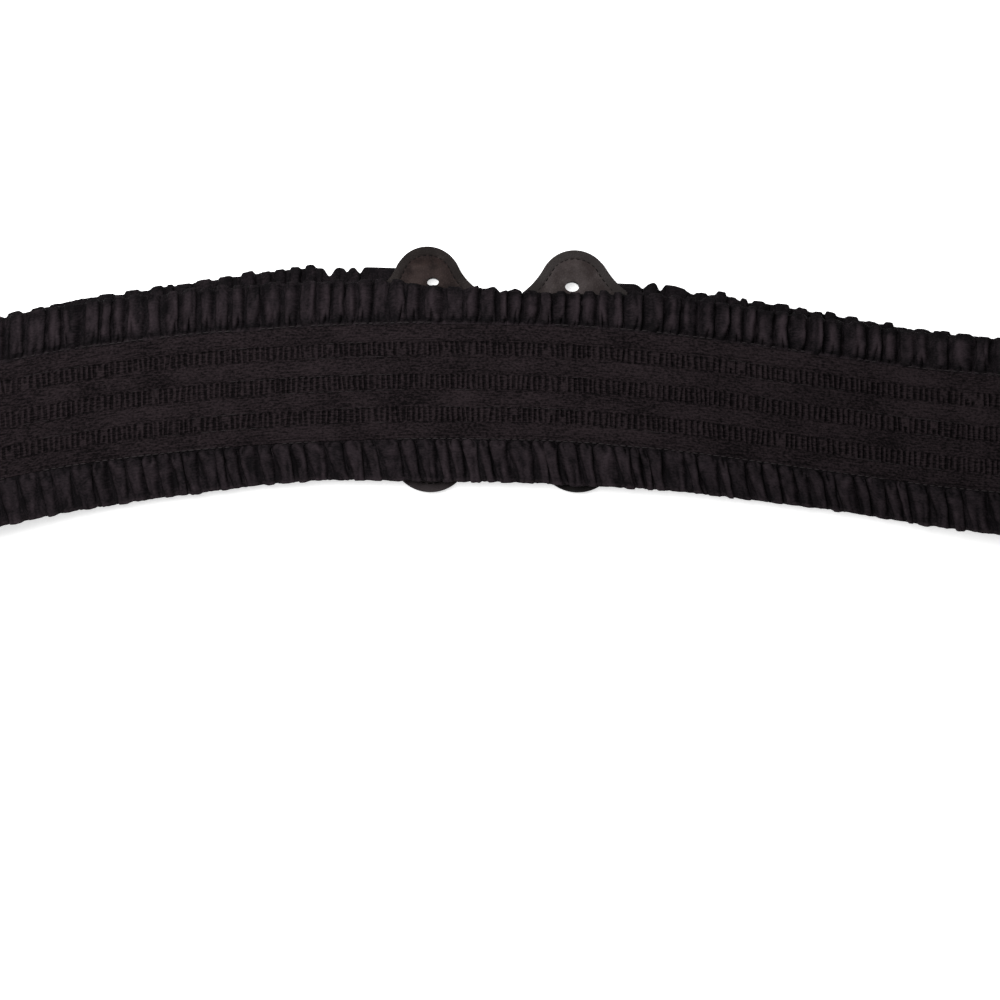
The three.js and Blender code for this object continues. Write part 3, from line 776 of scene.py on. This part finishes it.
# upper and lower are the heights of the ruffles' seams, shown and rowShown the noise from which a
# stitch is made, sway and sunk how far stitches stray and how deep they lie
seam = {"upper": 20.5, "lower": 19.9, "pitch": 2.5, "length": 2.2, "uneven": (0.7, 1.1),
        "radius": 0.29, "shown": -0.4, "sway": 0.12, "sunk": 0.72, "leatherEnd": 44, "rowOut": 0.15,
        "rowPitch": 3.4, "rowLength": (1.4, 3.4), "rowRadius": 0.15, "rowShown": 0.42, "rowSeed": 61,
        "rings": 5, "around": 6}


def stitchRun(centres, directions, ups, lengths, radius):
    # one sewn stitch at each centre: a ball, centre + axial length / 2 + radius around, whose long
    # axis follows the seam
    lat = np.linspace(-1, 1, seam["rings"])
    lon = np.arange(seam["around"]) / seam["around"] * 2 * np.pi
    ring = np.sqrt(1 - (lat * 0.97) ** 2)
    ball = joinUp(lat[:, None], ring[:, None] * np.cos(lon), ring[:, None] * np.sin(lon))
    ball = ball.reshape(-1, 3)
    sides = np.cross(directions, ups)
    lengths = np.broadcast_to(lengths, len(centres))[:, None]
    axes = np.stack([directions * lengths / 2, sides * radius, ups * radius], 1)
    points = centres[:, None, :] + np.einsum("bk,mkc->mbc", ball, axes)
    faces = gridFaces(seam["rings"], seam["around"], True)
    whole = faces[None] + (np.arange(len(centres)) * len(ball))[:, None, None]
    uv = np.tile(ball[:, :2] * 0.1, (len(centres), 1))
    uv = uv + np.repeat(centres[:, :2] * 100, len(ball), 0)
    return points.reshape(-1, 3), whole.reshape(-1, 4), uv


def beltStitches(name, s, t, lift, lengths, radius):
    # stitches that follow the band at height t, lift above its middle surface
    at = onBelt(s, t, lift)
    direction = toUnit(onBelt(s + 1.0, t, lift) - onBelt(s - 1.0, t, lift))
    up = onBelt(s, t, lift + 1) - at
    up = toUnit(up - direction * (up * direction).sum(-1, keepdims=True))
    points, faces, uv = stitchRun(at, direction, up, lengths / 1000, radius / 1000)
    return makePiece(name, points, faces, uv, 0.5, closed=False)


def seamStitches(name, side, seed):
    # the ruffle's seam: stitches a pitch apart, some of them hidden, none under the leather
    rng = np.random.default_rng(seed)
    s = np.arange(2.0, beltLength - 2.0, seam["pitch"])
    s = s[(pathAt("front", s) < 0.5) | (np.abs(pathAt("x", s)) > seam["leatherEnd"])]
    s = s[smoothNoise(rng, len(s), 2) > seam["shown"]]
    height = seam["upper" if side > 0 else "lower"]
    t = side * (height + seam["sway"] * smoothNoise(rng, len(s), 2))
    lift = band["half"] * seam["sunk"] + 0.06 * smoothNoise(rng, len(s), 3)
    lengths = seam["length"] * rng.uniform(*seam["uneven"], len(s))
    return beltStitches(name, s, t, lift, lengths, seam["radius"])


def rowStitches():
    # elastic thread that shows here and there along the edges of the rib rows
    rng = np.random.default_rng(seam["rowSeed"])
    s, t = [], []
    for low, high in band["rows"]:
        for edge in (low - seam["rowOut"], high + seam["rowOut"]):
            place = np.arange(4.0, beltLength - 4.0, seam["rowPitch"])
            shows = smoothNoise(rng, len(place), 2) > seam["rowShown"]
            s.append(place[shows] + rng.uniform(-0.5, 0.5, shows.sum()))
            t.append(band["width"] / 2 - edge + rng.uniform(-0.12, 0.12, shows.sum()))
    s, t = np.concatenate(s), np.concatenate(t)
    lengths = rng.uniform(*seam["rowLength"], len(s))
    return beltStitches("rowThread", s, t, band["half"] + 0.0 * s, lengths, seam["rowRadius"])


finishPiece(seamStitches("seamThreadUpper", 1, 71), clothOf["thread"], "ruffle_cloth")
finishPiece(seamStitches("seamThreadLower", -1, 72), clothOf["thread"], "ruffle_cloth")
finishPiece(rowStitches(), clothOf["thread"], "shirred_elastic")
print("seams sewn")

# Leather end pieces

# a plate's middle, how far it leans, its half height, the radii of its top and bottom lobe and of
# the flare beside them, how far out the flare's centre is, its half width, and its oval holes'
# places and half sizes
plates = {
    "left": {"x": -25.55, "y": 0.55, "lean": -0.013, "tall": 42.95, "lobe": 11.7, "lobeLow": 14.0,
             "flare": 18.0, "flareX": 27.3, "half": 19.2, "holeX": 1.85, "holeY": 30.4,
             "holeWide": 2.1, "holeTall": 1.45},
    "right": {"x": 25.9, "y": -0.15, "lean": -0.015, "tall": 42.35, "lobe": 12.2, "lobeLow": 14.5,
              "flare": 28.0, "flareX": 35.05, "half": 18.3, "holeX": -1.0, "holeY": 29.4,
              "holeWide": 2.45, "holeTall": 1.8},
}
# plies' thickness, the lining's level over the band and where it comes down to the outer ply's, the
# stitch line's place, pitch, stitch length, radius and height, the edges' rounding, the stitched
# channel's depth and half width, where the border's colour ends and where the bottom lobe's painted
# light begins
leather = {"outer": 1.8, "lining": 1.2, "gap": 0.3, "raised": 4.2, "flatFrom": 35.4, "flatAt": 39.2,
           "stitchIn": 3.1, "stitchPitch": 2.1, "stitchLong": 1.5, "stitchThick": 0.22,
           "stitchSunk": 0.16, "round": 0.5, "channel": 0.2, "channelHalf": 0.4,
           "borderEnd": (2.5, 3.4), "paintedLobeLight": (-30.0, -38.0)}
# distances from the outline of the points near it, and from a corner in the outline
edgeSteps = np.array([0, 0.015, 0.05, 0.11, 0.19, 0.29, 0.4, 0.52, 0.8, 1.1, 1.5, 1.9, 2.3, 2.6,
                      2.85, 3.1, 3.35, 3.6, 4.0])
cornerSteps = np.array([1.0, 0.75, 0.5, 0.34, 0.22, 0.13, 0.07, 0.03, 0.01, 0.0, -0.05, -0.15, -0.3,
                        -0.5, -0.9, -1.5])


def plateEnd(p, r):
    # one end of a plate whose lobe has radius r: heights of the lobe's centre and the flare's, of
    # the point where the two circles touch, and of the corner where the flare meets the side
    lobeY = p["tall"] - r
    flareY = lobeY + np.sqrt((r + p["flare"]) ** 2 - p["flareX"] ** 2)
    join = lobeY + (flareY - lobeY) * r / (r + p["flare"])
    return lobeY, flareY, join, flareY - np.sqrt(p["flare"] ** 2 - (p["flareX"] - p["half"]) ** 2)


def plateHalf(p, h):
    # half width at height h: lobe circle at the end, flare circle next to it, then straight sides
    out = np.full(np.shape(h), p["half"])
    for side, r in ((1, p["lobe"]), (-1, p["lobeLow"])):
        lobeY, flareY, join, shoulder = plateEnd(p, r)
        flare = p["flareX"] - np.sqrt(np.clip(p["flare"] ** 2 - (flareY - side * h) ** 2, 0, None))
        lobe = np.sqrt(np.clip(r**2 - (side * h - lobeY) ** 2, 0, None))
        out = np.where(side * h > shoulder, np.where(side * h < join, flare, lobe), out)
    return out


def plateRows(p):
    # heights from the bottom tip to the top one, close together at the tips and at the corners
    ends = []
    for r in (p["lobe"], p["lobeLow"]):
        shoulder = plateEnd(p, r)[3]
        lobe = np.arange(4.45, p["tall"] - shoulder - 1.2, 0.45)
        tip = p["tall"] - np.concatenate([edgeSteps, lobe])
        flat = np.linspace(shoulder - 2.6, 0, 9)
        ends.append(np.concatenate([tip, shoulder + cornerSteps, flat]))
    return np.concatenate([-ends[1], ends[0][::-1][1:]])


def edgeDistance(p, x, h):
    # shortest distance from points, given from the plate's middle, to the outline's straight bits:
    # |point - bit's start - f * bit| for the share f of the bit that lies nearest
    heights = plateRows(p)
    edgeX, edgeH = plateHalf(p, heights), heights
    stepX, stepH = np.diff(edgeX), np.diff(edgeH)
    fromX, fromH = np.abs(x)[..., None] - edgeX[:-1], h[..., None] - edgeH[:-1]
    f = np.clip((fromX * stepX + fromH * stepH) / (stepX**2 + stepH**2), 0, 1)
    return np.hypot(fromX - f * stepX, fromH - f * stepH).min(-1)


def liningLevel(h):
    # height of the lining's underside: raised over the band, down to the outer ply at the lobes
    f = smoothStep(leather["flatFrom"], leather["flatAt"], np.abs(h))
    return leather["raised"] + (leather["outer"] + leather["gap"] - leather["raised"]) * f


def makePly(name, p, lowOf, thick, groove):
    # plate between two skins over rows of height h and columns set in from the row's ends; both
    # skins turn down over the edge as a quarter circle of the distance d from the outline:
    # drop = r (1 - sqrt(1 - (1 - d / r)^2)). groove is 1 for a stitched channel above, -1 below
    heights = plateRows(p)
    width = plateHalf(p, heights)[:, None]
    near = width - edgeSteps[None, :] * np.minimum(1, width / 8)
    across = np.linspace(1, -1, 13)[None, 1:-1] * near[:, -1:]
    x = np.concatenate([near, across, -near[:, ::-1]], 1)
    h = np.broadcast_to(heights[:, None], x.shape)
    d = edgeDistance(p, x, h)
    radius = min(leather["round"], thick * 0.45)
    drop = radius * (1 - np.sqrt(np.clip(1 - (1 - np.clip(d / radius, 0, 1)) ** 2, 0, 1)))
    away = (d - leather["stitchIn"]) / leather["channelHalf"]
    channel = leather["channel"] * np.exp(-(away**2))
    low = lowOf(h) + drop + (channel if groove < 0 else 0)
    high = lowOf(h) + thick - drop - (channel if groove > 0 else 0)
    x = p["x"] + p["lean"] * h + x
    up = np.stack([x, p["y"] + h, high], -1)
    down = np.stack([x, p["y"] + h, low], -1)
    points = (np.concatenate([up, down[:, ::-1]], 1) + originShift) / 1000
    return makePiece(name, points, gridFaces(len(heights), points.shape[1], True))


def punchHoles(piece, p):
    # two oval holes cut with stretched cylinders; the cut mesh is kept as the piece's own. The border
    # value is 1 outside the topstitching, and the lobe value, which places painted light, is 1 on the
    # bottom lobe
    cutters = []
    for side in (1, -1):
        work = bmesh.new()
        bmesh.ops.create_cone(work, cap_ends=True, segments=48, radius1=1, radius2=1, depth=0.02)
        bmesh.ops.scale(work, verts=work.verts, vec=(p["holeWide"] / 1000, p["holeTall"] / 1000, 1))
        across = p["x"] + side * p["holeY"] * p["lean"] + p["holeX"]
        centre = np.array([across, p["y"] + side * p["holeY"], 2.0]) + originShift
        bmesh.ops.translate(work, verts=work.verts, vec=centre / 1000)
        mesh = bpy.data.meshes.new("punch")
        work.to_mesh(mesh)
        work.free()
        cutters.append(addObject("punch", mesh))
        cut = piece.modifiers.new("hole", "BOOLEAN")
        cut.operation, cut.solver, cut.object = "DIFFERENCE", "EXACT", cutters[-1]
    graph = bpy.context.evaluated_depsgraph_get()
    kept = bpy.data.meshes.new_from_object(piece.evaluated_get(graph))
    piece.modifiers.clear()
    old = piece.data
    kept.name = old.name
    piece.data = kept
    for cutter in cutters:
        bpy.data.objects.remove(cutter)
    kept.set_sharp_from_angle(angle=0.7)
    spots = np.empty(len(kept.vertices) * 3)
    kept.vertices.foreach_get("co", spots)
    spots = spots.reshape(-1, 3) * 1000 - originShift
    h = spots[:, 1] - p["y"]
    d = edgeDistance(p, spots[:, 0] - p["x"] - p["lean"] * h, h)
    setValue(kept, "paintedLightAndBorder", 1 - smoothStep(*leather["borderEnd"], d))
    # where the bottom lobe's painted light goes
    setValue(kept, "paintedLobeLight", smoothStep(*leather["paintedLobeLight"], h))
    print(piece.name, "faces", len(kept.polygons))
    return piece


def plateStitches(name, p, levelOf, upward):
    # stitches along the line set in from the outline: its normals are laid inwards from the right
    # half's outline, points nearer to the outline than that are dropped, and the left half
    # mirrors it
    heights = plateRows(p)
    x, h = plateHalf(p, heights), heights
    run = runAlong(x, h)
    even = np.linspace(0, run[-1], 1600)
    x, h = np.interp(even, run, x), np.interp(even, run, h)
    dx, dh = np.gradient(x), np.gradient(h)
    size = np.hypot(dx, dh)
    inset = leather["stitchIn"]
    lineX, lineH = x - dh / size * inset, h + dx / size * inset
    good = (edgeDistance(p, lineX, lineH) > inset - 0.06) & (lineX > 0)
    lineX, lineH = lineX[good], lineH[good]
    loopX, loopH = np.concatenate([lineX, -lineX[::-1]]), np.concatenate([lineH, lineH[::-1]])
    loopX = loopX + p["lean"] * loopH
    run = runAlong(loopX, loopH)
    at = np.arange(0, run[-1], leather["stitchPitch"])
    place = lambda r: np.stack([p["x"] + np.interp(r, run, loopX), p["y"] + np.interp(r, run, loopH),
                                levelOf(np.interp(r, run, loopH))], -1)
    centres = (place(at) + originShift) / 1000
    direction = toUnit(place(at + 0.4) - place(at - 0.4))
    up = np.zeros_like(direction)
    up[:, 2] = 1 if upward else -1
    points, faces, uv = stitchRun(centres, direction, up, leather["stitchLong"] / 1000,
                                  leather["stitchThick"] / 1000)
    return makePiece(name, points, faces, uv, 0.5, closed=False)


sunk = leather["stitchSunk"]
for key, p in plates.items():
    side = key.capitalize()
    outer = makePly("outerPly" + side, p, lambda h: 0 * h, leather["outer"], -1)
    finishPiece(punchHoles(outer, p), hideOf["faceHide"], "leather_face", "leather_outer_" + key)
    inner = makePly("liningPly" + side, p, liningLevel, leather["lining"], 1)
    finishPiece(punchHoles(inner, p), hideOf["liningHide" + side], "leather_lining",
                "leather_lining_" + key)
    upper = plateStitches("liningStitch" + side, p,
                          lambda h: liningLevel(h) + leather["lining"] - sunk, True)
    finishPiece(upper, clothOf["hideThread"], "leather_lining")
    lower = plateStitches("faceStitch" + side, p, lambda h: sunk + 0 * h, False)
    finishPiece(lower, clothOf["hideThread"], "leather_face")
print("leather made")

# Clasp

# levels are heights from the plate's underside, inset how far its outline is drawn in at each
clasp = {"half": 14.5, "tall": 13.0, "corner": 3.0, "y": -0.2, "low": 2.1, "around": 96,
         "levels": [0.0, 0.0, 0.12, 0.35, 1.0, 1.45, 1.68, 1.8, 1.8],
         "inset": [3.0, 0.5, 0.25, 0.05, 0.0, 0.05, 0.25, 0.5, 3.0],
         "dark": (0.035, 0.034, 0.036), "light": (0.075, 0.073, 0.076), "toneSize": 90.0,
         "rough": 0.38, "specular": 0.5, "metal": 0.85}


def makeClasp():
    # rounded plate: at each level a rectangle's corner centres + (corner - inset) around
    a = np.linspace(0, 2 * np.pi, clasp["around"], endpoint=False)[None, :]
    r = clasp["corner"]
    cx = np.sign(np.cos(a)) * (clasp["half"] - r)
    cy = np.sign(np.sin(a)) * (clasp["tall"] - r)
    inset, levels = np.array(clasp["inset"])[:, None], np.array(clasp["levels"])[:, None]
    rows = joinUp(cx + (r - inset) * np.cos(a), clasp["y"] + cy + (r - inset) * np.sin(a),
                  clasp["low"] + levels)
    points = (rows + originShift) / 1000
    return makePiece("claspPlate", points, gridFaces(len(levels), clasp["around"], True))


def claspMaterial():
    # dark satin metal with a slow change of tone
    material, tree, shader, coords = startMaterial("claspMetal", clasp["rough"], clasp["specular"],
                                                   clasp["metal"])
    tone = placeGroup(tree, toneGroup, coords.outputs["Object"], Dark=(*clasp["dark"], 1),
                      Light=(*clasp["light"], 1), Size=clasp["toneSize"])
    tree.links.new(tone.outputs["Color"], shader.inputs["Base Color"])
    return material


finishPiece(makeClasp(), claspMaterial(), "clasp_metal", "clasp")
print("clasp made")

# Floor, light and camera

studio = {"floorTone": 0.92, "floorGlow": 0.6, "floorHalf": 4.0, "floorLow": -0.0002,
          "worldLight": 0.258, "keyPower": 3.2, "keySide": 0.35, "keyPlace": (-0.14, 0.15, 0.42),
          "keyTurn": (-0.333, -0.256, 0.0)}
# side in pixels, the pixel that the belt's own millimetres start at, millimetres to a pixel at the
# height of the back half, in metres
photo = {"side": 1000, "zero": (502, 370), "pixel": 68 / 196, "height": 0.0085, "lens": 85.0,
         "sensor": 36.0}


def makeFloor():
    # one flat square just under the belt, which glows a little
    mesh = bpy.data.meshes.new("tableTop")
    half, low = studio["floorHalf"], studio["floorLow"]
    mesh.from_pydata([(-half, -half, low), (half, -half, low), (half, half, low),
                      (-half, half, low)], [], [(0, 1, 2, 3)])
    floor = addObject("tableTop", mesh)
    material, _, shader, _ = startMaterial("paleFloor", 0.9, 0.1)
    shader.inputs["Base Color"].default_value = (*[studio["floorTone"]] * 3, 1)
    shader.inputs["Emission Color"].default_value = (1, 1, 1, 1)
    shader.inputs["Emission Strength"].default_value = studio["floorGlow"]
    floor.data.materials.append(material)


def makeLight():
    # one soft lamp from the upper left, and an even white surrounding
    data = bpy.data.lights.new("softKey", "AREA")
    data.shape, data.size, data.energy = "SQUARE", studio["keySide"], studio["keyPower"]
    lamp = addObject("softKey", data)
    lamp.location, lamp.rotation_euler = studio["keyPlace"], studio["keyTurn"]
    lamp.visible_camera = False
    world = bpy.data.worlds.new("studioWorld")
    world.use_nodes = True
    background = world.node_tree.nodes["Background"]
    background.inputs["Color"].default_value = (1, 1, 1, 1)
    background.inputs["Strength"].default_value = studio["worldLight"]
    bpy.context.scene.world = world
    bpy.context.scene.view_settings.view_transform = "Standard"


def makeCamera():
    # looks straight down on the photo's middle, from as far as makes the back half's height fill
    # the frame at the photo's scale
    data = bpy.data.cameras.new("photoCamera")
    data.lens, data.sensor_width = photo["lens"], photo["sensor"]
    camera = addObject("photoCamera", data)
    half, scale = photo["side"] / 2, photo["pixel"]
    x = (half - photo["zero"][0]) * scale + originShift[0]
    y = (photo["zero"][1] - half) * scale + originShift[1]
    away = photo["side"] * scale / 1000 * photo["lens"] / photo["sensor"]
    camera.location = (x / 1000, y / 1000, photo["height"] + away)
    bpy.context.scene.camera = camera


makeFloor()
makeLight()
makeCamera()
print("floor, light and camera set")
